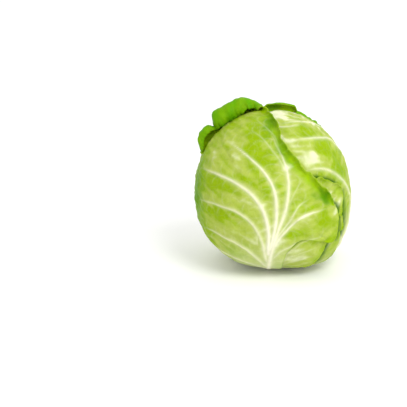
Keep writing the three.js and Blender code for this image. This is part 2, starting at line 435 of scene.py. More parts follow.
    def side_veins(self, main: list[Rib], rng: np.random.Generator) -> list[Rib]:
        """Thin veins that branch from every main rib, alternating sides.

        Args:
            main: Ribs to branch from.
            rng: Source of their spacing, length and curve.

        Returns:
            The side veins.
        """
        veins = []
        for rib in main:
            path = rib.curve()
            run = np.concatenate([[0], np.cumsum(np.linalg.norm(np.diff(path, axis=0), axis=1))])
            at, side = 7.0 + rng.uniform(0, 3), 1
            while at < run[-1] - 2:
                i = int(np.searchsorted(run, at)) - 1
                along = path[i + 1] - path[i]
                along /= max(np.linalg.norm(along), TINY)
                across = np.array([-along[1], along[0]]) * side
                length = rng.uniform(9, 17) * (1 - 0.35 * at / run[-1])
                turn = rng.uniform(0.5, 0.9)
                p0 = path[i]
                p1 = p0 + length * 0.5 * (along * (1 - 0.3 * turn) + across * turn)
                p2 = p0 + length * (along * (0.75 - 0.4 * turn) + across * (0.8 + 0.2 * turn))
                veins.append(Rib((tuple(p0), tuple(p1), tuple(p2)), width=1.5, height=0.3,
                                 end_share=0.3, rank=0.13 * self.vigour))
                at += rng.uniform(4.0, 7.5)
                side = -side
        return veins


@dataclass
class LeafStack:
    """All leaves from the inside out, and how they lie on one another."""

    leaves: list[Leaf]
    shape: HeadShape = field(default_factory=HeadShape)
    pitch: float = 2.6
    drape: float = 42.0
    inner_clearance: float = 1.6
    blade: float = 0.9

    def radius(self, order: int, d: np.ndarray) -> np.ndarray:
        """Radius of one leaf's middle surface, one pitch lower for every leaf over it.

        Args:
            order: Place of the leaf in the stack.
            d: Directions from the middle of the head.

        Returns:
            Radii in mm.
        """
        inner = self.leaves[order].place is Place.INNER
        r = self.shape.surface(d) - (self.inner_clearance if inner else 0.0)
        for leaf in self.leaves[order + 1 :]:
            r -= self.pitch * leaf.coverage(d, self.drape)
        return r

    def cover(self, order: int, d: np.ndarray) -> np.ndarray:
        """How fully leaves further out hide each direction, 0 to 1.

        Args:
            order: Place of the leaf in the stack.
            d: Directions from the middle of the head.

        Returns:
            Shares from 0 to 1.
        """
        hidden = np.zeros(len(d))
        for leaf in self.leaves[order + 1 :]:
            hidden = np.maximum(hidden, leaf.coverage(d, 9.0))
        return hidden

    def crevice_shade(self, order: int, d: np.ndarray) -> np.ndarray:
        """Painted shade in the narrow gap beside the rim of a leaf further out: how deep in that gap each
        direction lies.

        Args:
            order: Place of the leaf in the stack.
            d: Directions from the middle of the head.

        Returns:
            1 under the rim, falling to 0 where the painted shade ends.
        """
        mm_per_degree = self.shape.mm_per_degree
        shade = np.zeros(len(d))
        for leaf in self.leaves[order + 1 :]:
            reach = np.degrees(np.arccos(np.clip(d @ leaf.middle, -1, 1)))
            direction = np.degrees(np.arctan2(d @ leaf.right, d @ leaf.up))
            width, bend = leaf.margin(direction)
            rim = (leaf.reach(direction) + leaf.wobble(direction)) * mm_per_degree
            rim += width / bend * np.sin(np.minimum(bend, math.pi / 2))
            beyond = (reach * mm_per_degree - rim) / leaf.gap_depth(direction)
            shade = np.maximum(shade, smooth(1.0, 0.15, beyond) ** 1.5)
        return shade


# ---- finishes ----------------------------------------------------------------------------------


@dataclass(frozen=True)
class LeafFinish:
    """Cabbage leaf skin, grown: a thin wax bloom over a blade that lets some light through.

    The eye sees broad vivid and milky patches between pale ribs, a soft wide sheen from the wax, and
    darker green where the margin has seen more sun. Some milky and white patches are painted light and
    highlight, some deep green is painted shade, and the gaps beside leaf rims get painted shade.
    """

    name: str
    vivid: str
    milky: str
    bloom_and_highlight: str
    rib: str
    margin: str
    base: str
    gap: str
    deep_green_and_shade: str
    roughness: float = 0.44
    mottle_mm: float = 10.0
    grain_mm: float = 1.6
    warp_mm: float = 11.0
    net_mm: float = 8.0
    net_share: float = 0.035
    milkiness: float = 0.0

    def build(self) -> bpy.types.Material:
        """Make the material.

        Returns:
            The finished material.
        """
        material = bpy.data.materials.new(self.name)
        material.use_nodes = True
        tree = material.node_tree
        tree.nodes.clear()
        leaf_map = add_node(tree, "ShaderNodeUVMap", uv_map="LeafMap").outputs["UV"]
        flat = add_node(tree, "ShaderNodeVectorMath", {0: leaf_map, "Scale": LEAF_MAP_MM},
                        operation="SCALE").outputs[0]
        rib, halo, margin, base, patch, gap, deep_green_and_shade = (
            add_node(tree, "ShaderNodeAttribute", attribute_name=n).outputs["Fac"] for n in LeafPiece.FIELDS)

        # Mottle a centimetre across, as the blade's thickness varies, and a fine grain of wax.
        mottle = add_node(tree, "ShaderNodeTexNoise", {"Vector": flat, "Scale": 1 / self.mottle_mm,
                                                       "Detail": 5, "Roughness": 0.6}).outputs[0]
        grain = add_node(tree, "ShaderNodeTexNoise", {"Vector": flat, "Scale": 1 / self.grain_mm,
                                                      "Detail": 4}).outputs[0]
        uneven, shade, rough = (
            add_node(tree, "ShaderNodeMapRange", {"Value": mottle, "From Min": 0.3, "From Max": 0.7,
                                                  "To Min": low, "To Max": high},
                     interpolation_type="SMOOTHSTEP").outputs[0]
            for low, high in ((0.8, 1.1), (0.9, 1.05), (self.roughness - 0.08, self.roughness + 0.1)))

        # Net of the smallest veins in cells of net_mm and of less than half that, its lines bent by noise.
        warp = add_node(tree, "ShaderNodeTexNoise", {"Vector": flat, "Scale": 1 / self.warp_mm, "Detail": 3})
        bent = add_node(tree, "ShaderNodeVectorMath", {0: warp.outputs[1], 1: (8.0, 8.0, 0.0), 2: flat},
                        operation="MULTIPLY_ADD").outputs[0]
        net = 0.0
        for cell_mm, strength in ((self.net_mm, 1.0), (0.42 * self.net_mm, 0.45)):
            edge = add_node(tree, "ShaderNodeTexVoronoi", {"Vector": bent, "Scale": 1 / cell_mm},
                            feature="DISTANCE_TO_EDGE", voronoi_dimensions="2D").outputs["Distance"]
            line = add_node(tree, "ShaderNodeMapRange", {"Value": edge, "From Max": 0.12, "To Min": strength,
                                                         "To Max": 0.0}, interpolation_type="SMOOTHSTEP")
            net = add_node(tree, "ShaderNodeMath", {0: net, 1: line.outputs[0]},
                           operation="MAXIMUM").outputs[0]

        # Patches: vivid, then milky, then white with bloom; the whitest are partly painted highlight.
        pale = patch
        for part, weight in ((mottle, 0.5), (halo, 0.3)):
            pale = add_node(tree, "ShaderNodeMath", {0: part, 1: weight, 2: pale},
                            operation="MULTIPLY_ADD").outputs[0]
        level = 0.25 - self.milkiness
        colour = linear(self.vivid)
        for low, high, code in ((0.1, 0.75, self.milky), (0.75, 1.5, self.bloom_and_highlight)):
            share = add_node(tree, "ShaderNodeMapRange", {"Value": pale, "From Min": low + level,
                                                          "From Max": high + level},
                             interpolation_type="SMOOTHSTEP").outputs[0]
            colour = add_node(tree, "ShaderNodeMix", {0: share, 6: colour, 7: linear(code)},
                              data_type="RGBA").outputs[2]

        # On these lie the net, pale foot, green margin, deep green folds and painted shade, ribs and the
        # painted shade of the gaps.
        off_margin = add_node(tree, "ShaderNodeMath", {0: margin, 1: -0.75, 2: 1.0}, operation="MULTIPLY_ADD")
        layers = ((net, self.net_share, self.rib), (base, 0.8, self.base), (margin, uneven, self.margin),
                  (deep_green_and_shade, 1.0, self.deep_green_and_shade), (rib, off_margin.outputs[0], self.rib), (gap, 0.95, self.gap))
        for part, strength, code in layers:
            share = add_node(tree, "ShaderNodeMath", {0: part, 1: strength}, operation="MULTIPLY").outputs[0]
            colour = add_node(tree, "ShaderNodeMix", {0: share, 6: colour, 7: linear(code)},
                              data_type="RGBA").outputs[2]
        grey = add_node(tree, "ShaderNodeCombineColor", {0: shade, 1: shade, 2: shade}).outputs[0]
        colour = add_node(tree, "ShaderNodeMix", {0: 0.7, 6: colour, 7: grey}, data_type="RGBA",
                          blend_type="MULTIPLY").outputs[2]

        waxy = add_node(tree, "ShaderNodeMath", {0: grain, 1: 0.3}, operation="MULTIPLY").outputs[0]
        height = add_node(tree, "ShaderNodeMath", {0: net, 1: 0.6, 2: waxy}, operation="MULTIPLY_ADD")
        bump = add_node(tree, "ShaderNodeBump", {"Height": height.outputs[0], "Strength": 0.4,
                                                 "Distance": 0.35 * MM})
        skin = add_node(tree, "ShaderNodeBsdfPrincipled", {
            "Base Color": colour, "Roughness": rough, "Normal": bump.outputs[0], "IOR": 1.42,
            "Specular IOR Level": 0.06, "Subsurface Weight": 0.12, "Subsurface Radius": (1.0, 1.2, 0.2),
            "Subsurface Scale": 1.2 * MM})
        add_node(tree, "ShaderNodeOutputMaterial", {"Surface": skin.outputs[0]})
        return material


# ---- meshes ------------------------------------------------------------------------------------


@dataclass(frozen=True)
class BladeRelief:
    """Swells of a leaf blade: lengths and heights in mm.

    Blisters fill the blade between the ribs, puckers are smaller, pleats follow the side veins, and ruffles
    and frills stand in a curled margin.
    """

    blister: tuple[float, float] = (26.0, 0.6)
    pucker: tuple[float, float] = (9.0, 0.14)
    pleat: tuple[float, float] = (7.5, 0.22)
    ruffle: tuple[float, float] = (30.0, 0.9)
    frill: tuple[float, float] = (11.0, 0.3)
    pleat_stretch: float = 0.22
    pleat_from: float = 18.0
    pleat_full: float = 50.0
    ruffle_reach: float = 26.0
    rib_run_out: float = 9.0
    rib_pressed: float = 0.75
    blade_pressed: float = 0.6
    foot_smooth: float = 0.6


@dataclass(frozen=True)
class BladePatches:
    """How milky and vivid patches spread over a blade, with lengths in mm.

    Broad patches and narrow streaks follow the side veins, and the listed patches wander a little.
    """

    level: float = 0.38
    broad: tuple[float, float] = (24.0, 0.2)
    streak: tuple[float, float] = (8.0, 0.15)
    broad_stretch: float = 0.5
    streak_stretch: float = 0.25
    wander: tuple[float, float] = (14.0, 1.5)
    vein_slope: float = 28.0
    green_fold: tuple[float, float] = (26.0, 0.75)


@dataclass
class BladePlaces:
    """Places on a leaf: one row each, with lengths in mm.

    Attributes:
        flat: Places on the flattened leaf, up and right.
        d: Directions from the middle of the head.
        path: Length of the way from the middle of the leaf.
        blade: Length of that way up to where the margin strip starts.
        width: Width of the margin strip.
        bend: Bend of the margin strip, in radians.
        strip: Share of the way over the margin strip.
    """

    flat: np.ndarray
    d: np.ndarray
    path: np.ndarray
    blade: np.ndarray
    width: np.ndarray
    bend: np.ndarray
    strip: np.ndarray

    @property
    def from_margin(self) -> np.ndarray:
        """Length of the way left to the margin."""
        return self.blade + self.width - self.path

    def combed(self, slope: float) -> np.ndarray:
        """Places counted along and across the side veins, which rise towards the margin.

        Args:
            slope: Rise of the side veins, in degrees.

        Returns:
            Places in mm, one row each.
        """
        rise, up, right = math.radians(slope), self.flat[:, 0], self.flat[:, 1]
        aside = np.abs(right)
        return np.stack([up * math.cos(rise) - aside * math.sin(rise),
                         np.sign(right) * (aside * math.cos(rise) + up * math.sin(rise))], axis=1)


@dataclass
class LeafPiece:
    """Mesh of one leaf, dressed and placed."""

    FIELDS: ClassVar[tuple[str, ...]] = ("rib", "halo", "margin", "base", "patch", "gap", "deep_green_and_shade")

    stack: LeafStack
    order: int
    outer: bpy.types.Material
    inner: bpy.types.Material
    swells: BladeRelief = field(default_factory=BladeRelief)
    patches: BladePatches = field(default_factory=BladePatches)

    @property
    def leaf(self) -> Leaf:
        """The leaf this piece shows."""
        return self.stack.leaves[self.order]

    def sample(self, x: np.ndarray, y: np.ndarray) -> dict[str, np.ndarray]:
        """Shape of the leaf at grid places.

        Args:
            x: Grid places to the right, -1 to 1.
            y: Grid places up, -1 to 1.

        Returns:
            Points and normals in mm, flat places on the leaf in mm, and the surface fields.
        """
        leaf, stack = self.leaf, self.stack
        dx, dy = x * np.sqrt(1 - y * y / 2), y * np.sqrt(1 - x * x / 2)
        direction = np.degrees(np.arctan2(dx, dy))
        reach = leaf.reach(direction) + leaf.wobble(direction)
        width, bend = leaf.margin(direction)
        mm_per_degree = stack.shape.mm_per_degree
        blade = reach * mm_per_degree
        path = np.hypot(dx, dy) * (blade + width)
        strip = np.clip((path - blade) / width, 0, 1)
        d = leaf.ray(direction, np.minimum(path / mm_per_degree, reach))
        outwards = self.outwards(direction, reach)
        turned, curl = bend * strip, width / bend
        points = d * stack.radius(self.order, d)[:, None]
        points += outwards * (curl * np.sin(turned))[:, None] + d * (curl * (1 - np.cos(turned)))[:, None]
        normals = d * np.cos(turned)[:, None] - outwards * np.sin(turned)[:, None]
        a = np.radians(direction)
        flat = np.stack([np.cos(a) * path, np.sin(a) * path], axis=1)
        fields = self.surface_fields(BladePlaces(flat, d, path, blade, width, bend, strip))
        return {"points": points, "normals": normals, "flat": flat, **fields}

    def outwards(self, direction: np.ndarray, reach: np.ndarray) -> np.ndarray:
        """Unit vectors square to the margin, away from the leaf.

        Args:
            direction: Directions from the middle of the leaf.
            reach: Reach of the margin in each, in degrees.

        Returns:
            The vectors, one row each.
        """
        leaf, step = self.leaf, 1.5
        ahead = leaf.ray(direction + step, leaf.reach(direction + step))
        behind = leaf.ray(direction - step, leaf.reach(direction - step))
        square = np.cross(leaf.ray(direction, reach), ahead - behind)
        return square / np.linalg.norm(square, axis=1)[:, None]

    def vein_fields(self, flat: np.ndarray) -> tuple[np.ndarray, np.ndarray, np.ndarray]:
        """Height of the veins, how white they are and the pale zone beside them.

        Args:
            flat: Places on the flattened leaf, up and right, in mm.

        Returns:
            Height in mm, whiteness and pale zone at each place.
        """
        height, rib, halo = (np.zeros(len(flat)) for _ in range(3))
        for vein in self.leaf.all_ribs():
            curve = vein.curve() * self.stack.shape.mm_per_degree
            away, along, near = distance_to_curve(flat, curve, 12 + 5 * vein.width)
            taper = 1 - (1 - vein.end_share) * along
            w = np.maximum(vein.width * taper, 1.3)
            fade = (1 - smooth(0.72, 1.0, along)) * vein.rank
            ridge = vein.height * taper * np.exp(-((away / (0.55 * w)) ** 2))
            height[near] = np.maximum(height[near], ridge)
            core = 0.45 * np.exp(-((away / (0.4 * w)) ** 2)) + 0.5 * np.exp(-((away / w) ** 2))
            rib[near] = np.maximum(rib[near], fade * (0.5 + 0.5 * taper) * core)
            halo[near] = np.maximum(halo[near], fade * np.exp(-away / (3.5 + 1.3 * w)))
        return height, rib, np.clip(halo, 0, 1)

    def relief(self, at: BladePlaces, veins: np.ndarray, halo: np.ndarray, foot: float) -> np.ndarray:
        """Height of the blade's surface, pressed flat where other leaves cover it.

        Args:
            at: Places on the leaf.
            veins: Height of the veins there, in mm.
            halo: Pale zone beside the veins.
            foot: Length from the middle of the leaf to its foot, in mm.

        Returns:
            Height in mm at each place.
        """
        form, seed = self.swells, self.leaf.seed * 31
        covered = self.stack.cover(self.order, at.d)
        height = veins * (1 - form.rib_pressed * covered) * smooth(0.0, form.rib_run_out, at.from_margin)
        height *= 1 - form.foot_smooth * smooth(0.55 * foot, foot, -at.flat[:, 0])

        def wave(places: np.ndarray, size: tuple[float, float], number: int) -> np.ndarray:
            """Swell of a length and height, each number with draws of its own."""
            return size[1] * swell(places, size[0], seed + number)

        combed = at.combed(self.patches.vein_slope) * [1.0, form.pleat_stretch]
        aside = np.abs(at.flat[:, 1])
        blade = wave(at.flat, form.blister, 0) * (1 - halo) + wave(at.flat, form.pucker, 1)
        blade += wave(combed, form.pleat, 6) * smooth(form.pleat_from, form.pleat_full, aside)
        height += (1 - form.blade_pressed * covered) * blade
        ruffle = smooth(form.ruffle_reach, 0, at.from_margin) * (1 - covered) * smooth(0.15, 1.2, at.bend)
        return height + ruffle * (wave(at.flat, form.ruffle, 2) + wave(at.flat, form.frill, 3))

    def colour_fields(self, at: BladePlaces) -> dict[str, np.ndarray]:
        """Patches, green margin and deep green places of the blade, with the painted light, highlight and
        shade of the listed blots.

        Args:
            at: Places on the leaf.

        Returns:
            The fields by name.
        """
        leaf, look, seed = self.leaf, self.patches, self.leaf.seed * 31
        combed = at.combed(look.vein_slope)
        broad = swell(combed * [1.0, look.broad_stretch], look.broad[0], seed + 4)
        streaks = swell(combed * [1.0, look.streak_stretch], look.streak[0], seed + 5)
        patch = look.level + look.broad[1] * broad + look.streak[1] * streaks
        curled = smooth(0.9, 1.6, at.bend) * smooth(-7, 2, at.path - at.blade)
        rim = 0.45 * smooth(1.8, 0, at.from_margin)
        margin = np.maximum(curled * (1 - 0.45 * smooth(0.5, 1, at.strip)), rim)
        fold = smooth(-0.3, 1.2, swell(at.flat, look.green_fold[0], seed + 9))
        deep_green_and_shade = look.green_fold[1] * smooth(1.6, 3.5, at.bend) * fold * smooth(0.05, 0.3, at.strip)
        drift = np.stack([swell(at.flat, look.wander[0], seed + k) for k in (7, 8)], axis=1)
        wandering = at.flat / self.stack.shape.mm_per_degree + look.wander[1] * drift
        # The listed blots add milky bloom and deep green, and in places painted light, highlight and shade.
        for blot in leaf.blots:
            share = blot.share(wandering)
            patch += 0.5 * blot.milk_and_light * share
            deep_green_and_shade = np.maximum(deep_green_and_shade, blot.deep_green_and_shade * share)
        return {"patch": patch, "margin": np.clip(margin, 0, 1), "deep_green_and_shade": deep_green_and_shade}

    def surface_fields(self, at: BladePlaces) -> dict[str, np.ndarray]:
        """Relief and colour fields of the blade.

        Args:
            at: Places on the leaf.

        Returns:
            Relief in mm and the colour fields, 0 to 1.
        """
        foot = float(self.leaf.reach(np.array([180.0]))[0]) * self.stack.shape.mm_per_degree
        veins, rib, halo = self.vein_fields(at.flat)
        base = smooth(0.35 * foot, 0.95 * foot, -at.flat[:, 0]) * smooth(64, 24, np.abs(at.flat[:, 1]))
        # Painted shade of the gaps beside the rims of leaves further out, kept off this leaf's own curled
        # strip.
        gap = self.stack.crevice_shade(self.order, at.d) * (1 - smooth(0.0, 0.5, at.strip))
        relief = self.relief(at, veins, halo, foot)
        return {"relief": relief, "rib": rib, "halo": halo, "base": base, "gap": gap,
                **self.colour_fields(at)}

    def build(self) -> bpy.types.Object:
        """Model, dress and place the leaf.

        Returns:
            The leaf's object.
        """
        leaf = self.leaf
        bm = bmesh.new()
        bmesh.ops.create_grid(bm, x_segments=leaf.cells, y_segments=leaf.cells, size=1.0)
        mesh = bpy.data.meshes.new(leaf.name)
        bm.to_mesh(mesh)
        bm.free()
        count = len(mesh.vertices)
        flat_grid = np.empty(count * 3)
        mesh.vertices.foreach_get("co", flat_grid)
        grid = flat_grid.reshape(-1, 3)
        made = self.sample(grid[:, 0], grid[:, 1])
        lift = 0.5 * self.stack.blade + made["relief"]
        points = made["points"] + made["normals"] * lift[:, None] + [0, 0, self.stack.shape.centre_z]
        mesh.vertices.foreach_set("co", (points * MM).ravel())
        for name in self.FIELDS:
            layer = mesh.attributes.new(name, "FLOAT", "POINT")
            layer.data.foreach_set("value", made[name].astype(np.float32))
        corner = np.empty(len(mesh.loops), dtype=np.int32)
        mesh.loops.foreach_get("vertex_index", corner)
        uv = (made["flat"][:, ::-1] / LEAF_MAP_MM + 0.5)[corner]
        mesh.uv_layers.new(name="LeafMap").data.foreach_set("uv", uv.ravel().astype(np.float32))
        mesh.polygons.foreach_set("use_smooth", np.ones(len(mesh.polygons), dtype=bool))
        mesh.update()
        piece = bpy.data.objects.new("visual_" + leaf.name, mesh)
        bpy.context.scene.collection.objects.link(piece)
        mesh.materials.append(self.outer)
        mesh.materials.append(self.inner)
        solidify = piece.modifiers.new("blade thickness", "SOLIDIFY")
        solidify.thickness = self.stack.blade * MM
        solidify.offset = -1.0
        solidify.material_offset = 1
        solidify.material_offset_rim = 0
        return piece


def distance_to_curve(points: np.ndarray, curve: np.ndarray,
                      within: float) -> tuple[np.ndarray, np.ndarray, np.ndarray]:
    """Distance from points to a polyline and where along it the nearest place is.

    Args:
        points: Points, one row each.
        curve: Corners of the polyline.
        within: Points outside the polyline's box by more than this are left out.

    Returns:
        Distance, share of the polyline's length at the nearest place, and which points these are.
    """
    low, high = curve.min(axis=0) - within, curve.max(axis=0) + within
    near = np.nonzero(((points > low) & (points < high)).all(axis=1))[0]
    points = points[near]
    best = np.full(len(points), 1e9)
    along = np.zeros(len(points))
    lengths = np.linalg.norm(np.diff(curve, axis=0), axis=1)
    total, run = lengths.sum(), 0.0
    for start, stop, length in zip(curve[:-1], curve[1:], lengths):
        if length < TINY:
            continue
        way = (stop - start) / length
        t = np.clip((points - start) @ way, 0, length)
        away = np.hypot(*(points - start - t[:, None] * way).T)
        nearer = away < best
        best = np.where(nearer, away, best)
        along = np.where(nearer, (run + t) / total, along)
        run += length
    return best, along, near


@dataclass
class Stalk:
    """Cut stalk and the core that runs up from it."""

    radius: float = 16.5
    chamfer: float = 1.2
    neck_z: float = 14.0
    core_radius: float = 12.0
    core_top: float = 90.0
    segments: int = 160

    def build(self, finish: bpy.types.Material) -> bpy.types.Object:
        """Spin the stalk and core, then press in the ridges that old leaf bases leave.

        Args:
            finish: Material of stalk and cut face.

        Returns:
            The stalk's object.
        """
        r, c = self.radius, self.chamfer
        profile = [(0.02, 0.0)] + [(r * k / 12, 0.0) for k in range(1, 11)]
        profile += [(r - c, 0.0), (r - 0.3 * c, 0.3 * c), (r, c), (r, 3), (r, 4.5), (r, 6), (r - 0.5, 8),
                    (r - 1.2, 11), (r - 2, self.neck_z)]
        profile += [(self.core_radius + 1, 24), (self.core_radius, 42), (self.core_radius - 3, 66)]
        profile += [(self.core_radius - 6, 82), (3, self.core_top - 2), (0.02, self.core_top)]
        bm = bmesh.new()
        corners = [bm.verts.new((x, 0, z)) for x, z in profile]
        edges = [bm.edges.new(pair) for pair in zip(corners, corners[1:])]
        bmesh.ops.spin(bm, geom=corners + edges, cent=(0, 0, 0), axis=(0, 0, 1), angle=2 * math.pi,
                       steps=self.segments, use_merge=True)
        bmesh.ops.remove_doubles(bm, verts=bm.verts, dist=0.05)
        bmesh.ops.recalc_face_normals(bm, faces=bm.faces)
        for v in bm.verts:
            around = math.atan2(v.co.y, v.co.x)
            if 0.5 < v.co.z < 22:
                ridge = 0.35 * math.sin(5 * around + 0.4) + 0.22 * math.sin(13 * around + v.co.z * 0.2)
                v.co.xy *= 1 + (ridge - 0.5) / self.radius
            v.co *= MM
        mesh = bpy.data.meshes.new("visual_stalk")
        bm.to_mesh(mesh)
        bm.free()
        mesh.polygons.foreach_set("use_smooth", np.ones(len(mesh.polygons), dtype=bool))
        mesh.materials.append(finish)
        piece = bpy.data.objects.new("visual_stalk", mesh)
        bpy.context.scene.collection.objects.link(piece)
        return piece


@dataclass(frozen=True)
class CutStalkFinish:
    """Cabbage stalk, cut with a knife: moist pale pith with darker fibre ends in rings, browning rim."""

    name: str = "cabbage_stalk_knife_cut"
    pith: str = "#e9e6c3"
    fibre: str = "#c9c48a"
    rind: str = "#b9c98a"
    dried: str = "#b79f68"
    rind_mm: float = 14.2
    fibre_mm: float = 1.4
    blotch_mm: float = 9.0

    def build(self) -> bpy.types.Material:
        """Make the material.

        Returns:
            The finished material.
        """
        material = bpy.data.materials.new(self.name)
        material.use_nodes = True
        tree = material.node_tree
        tree.nodes.clear()
        here = add_node(tree, "ShaderNodeTexCoord").outputs["Object"]
        apart = add_node(tree, "ShaderNodeSeparateXYZ", {0: here}).outputs
        level = add_node(tree, "ShaderNodeCombineXYZ", {0: apart[0], 1: apart[1]}).outputs[0]
        from_axis = add_node(tree, "ShaderNodeVectorMath", {0: level}, operation="LENGTH").outputs["Value"]
        fibres = add_node(tree, "ShaderNodeTexVoronoi", {"Vector": here, "Scale": 1 / (self.fibre_mm * MM)})
        dots = add_node(tree, "ShaderNodeMapRange", {"Value": fibres.outputs["Distance"], "From Min": 0.12,
                                                     "From Max": 0.34, "To Min": 1.0, "To Max": 0.0})
        ring = add_node(tree, "ShaderNodeMapRange", {"Value": from_axis, "From Min": 8 * MM,
                                                     "From Max": 12.5 * MM}, interpolation_type="SMOOTHSTEP")
        dotted = add_node(tree, "ShaderNodeMath", {0: dots.outputs[0], 1: ring.outputs[0]},
                          operation="MULTIPLY")
        rim = add_node(tree, "ShaderNodeMapRange", {"Value": from_axis, "From Min": (self.rind_mm - 1.2) * MM,
                                                    "From Max": self.rind_mm * MM})
        blotch = add_node(tree, "ShaderNodeTexNoise", {"Vector": here, "Scale": 1 / (self.blotch_mm * MM),
                                                       "Detail": 5}).outputs[0]
        dry = add_node(tree, "ShaderNodeMapRange", {"Value": blotch, "From Min": 0.5, "From Max": 0.75,
                                                    "To Max": 0.5})
        colour = linear(self.pith)
        for share, code in ((dotted, self.fibre), (rim, self.rind), (dry, self.dried)):
            colour = add_node(tree, "ShaderNodeMix", {0: share.outputs[0], 6: colour, 7: linear(code)},
                              data_type="RGBA").outputs[2]
        bump = add_node(tree, "ShaderNodeBump", {"Height": blotch, "Strength": 0.5, "Distance": 0.5 * MM})
        flesh = add_node(tree, "ShaderNodeBsdfPrincipled", {
            "Base Color": colour, "Roughness": 0.5, "Normal": bump.outputs[0], "IOR": 1.4,
            "Subsurface Weight": 0.2, "Subsurface Radius": (1.0, 0.8, 0.4), "Subsurface Scale": 2 * MM})
        add_node(tree, "ShaderNodeOutputMaterial", {"Surface": flesh.outputs[0]})
        return material


# ---- the leaves of this head, from the inside out -----------------------------------------------

STALK_GAP = 14.5  # degrees from the axis at which the wrapper leaves start
CORE_GAP = 19.0  # and the inner leaves


def inner_leaf(number: int, azimuth: float) -> Leaf:
    """One of the cupped inner leaves.

    Args:
        number: Number in the leaf's name.
        azimuth: Degrees round the head where it grows.

    Returns:
        The leaf.
    """
    return Leaf(f"inner_leaf_{number:02d}", azimuth, 12,
                ((0, 92), (50, 78), (95, 74), (135, 70), (160, 78), (180, 102 - CORE_GAP), (200, 78),
                 (225, 70), (265, 76), (310, 80)),
                place=Place.INNER, cells=110, seed=20 + number)


FRONT_RIBS = (
    Rib(((-87, 1), (-62, 6), (-42, 10.5), (-28, 15), (-14, 19.8), (0, 21.8), (14, 20.8), (28, 15.5),
         (41, 8), (54, 0)),
        width=7.0, height=2.4, end_share=0.1),
    Rib(((-44, 8.5), (-24, 13.2), (-8, 13.6), (5, 10.5), (16, 2.5), (25, -8.5), (34, -22), (43, -38)),
        width=4.6, height=1.6, end_share=0.15),
    Rib(((-48, 7), (-30, 8), (-14, 4.6), (-2, -4), (6, -17), (11, -32), (14.5, -48), (17, -62)),
        width=4.8, height=1.7),
    Rib(((-56, 5), (-38, 3), (-24, -3.5), (-16, -14), (-12.5, -28), (-11, -46), (-12, -62)),
        width=4.0, height=1.3, rank=0.7),
    Rib(((-66, 4), (-54, -2), (-44, -12), (-38, -26), (-35, -42), (-34, -56)),
        width=4.0, height=1.2, rank=0.7),
    Rib(((-74, 2), (-66, -6), (-60, -17), (-56, -32), (-54, -44)), width=3.6, height=1.0, rank=0.7),
    Rib(((8, 21.5), (20, 17), (32, 8), (44, -4), (52, -18)), width=2.8, height=0.6, rank=0.3),
    Rib(((28, 15.5), (44, 8), (56, -4), (66, -16)), width=2.4, height=0.5, rank=0.25),
    Rib(((-46, 9), (-33, 17), (-23, 26), (-17, 34), (-14, 43), (-11, 56)),
        width=4.0, height=1.2, rank=0.85),
    Rib(((-34, 14), (-27, 19), (-20, 24), (-13, 27.5), (-8, 31), (-2, 40)),
        width=3.2, height=0.9, rank=0.6),
    Rib(((-56, 7), (-46, 17), (-40, 28), (-36, 42), (-34, 54)), width=3.4, height=0.9, rank=0.5),
    Rib(((-12, 20.5), (0, 26), (8, 30), (14, 33)), width=2.4, height=0.5, rank=0.3),
)
FRONT_BLOTS = (
    Blot(26, -2.5, 13, 5, 125, milk_and_light=-1.3),
    Blot(10, -11, 9, 3.2, 90, milk_and_light=-1.0),
    Blot(20, -44, 4, 4, milk_and_light=-0.9),
    Blot(5, -38, 13, 5, 95, milk_and_light=-1.1),
    Blot(3, 6.5, 8, 3, 160, milk_and_light=-0.8),
    Blot(55, -12, 13, 12, milk_and_light=-0.8),
    Blot(43, -3, 9, 8, milk_and_light=-0.8),
    Blot(-21, 51, 10, 4, 95, milk_and_light=-1.1),
    Blot(-30, 24, 9, 5, 95, milk_and_light=-1.0),
    # Painted shade: the left side of the leaf darker and less milky.
    Blot(-6, -66, 34, 14, 0, milk_and_light=-1.4, deep_green_and_shade=0.9),
    Blot(-18, -32, 14, 3, 92, milk_and_light=-0.9),
    Blot(27, -41, 8, 6, 150, milk_and_light=1.3),
    Blot(24, -21, 10, 9, 120, milk_and_light=0.9),
    Blot(49, -33, 5, 5, milk_and_light=0.9),
    Blot(37, -15, 5, 3, 100, milk_and_light=0.9),
    Blot(17, 20, 15, 7, 150, milk_and_light=1.0),
    # Painted light: the lower middle of the leaf made paler.
    Blot(-34, 0, 12, 30, 0, milk_and_light=0.7),
    Blot(-48, 20, 14, 20, 0, milk_and_light=0.5),
    Blot(-17, 61, 5, 5, milk_and_light=1.3),
    Blot(-18, 41, 10, 6, 100, milk_and_light=1.1),
    Blot(-5, -18, 14, 4, 95, milk_and_light=0.7),
    # Painted shade in the valley beside the curled right margin, and a deep green spot at its lower end.
    Blot(58, 1, 14, 4, 170, deep_green_and_shade=0.75),
    Blot(34, 15, 16, 4, 152, deep_green_and_shade=0.55),
    Blot(-3, 51, 9, 3.5, 112, deep_green_and_shade=1.0),
)
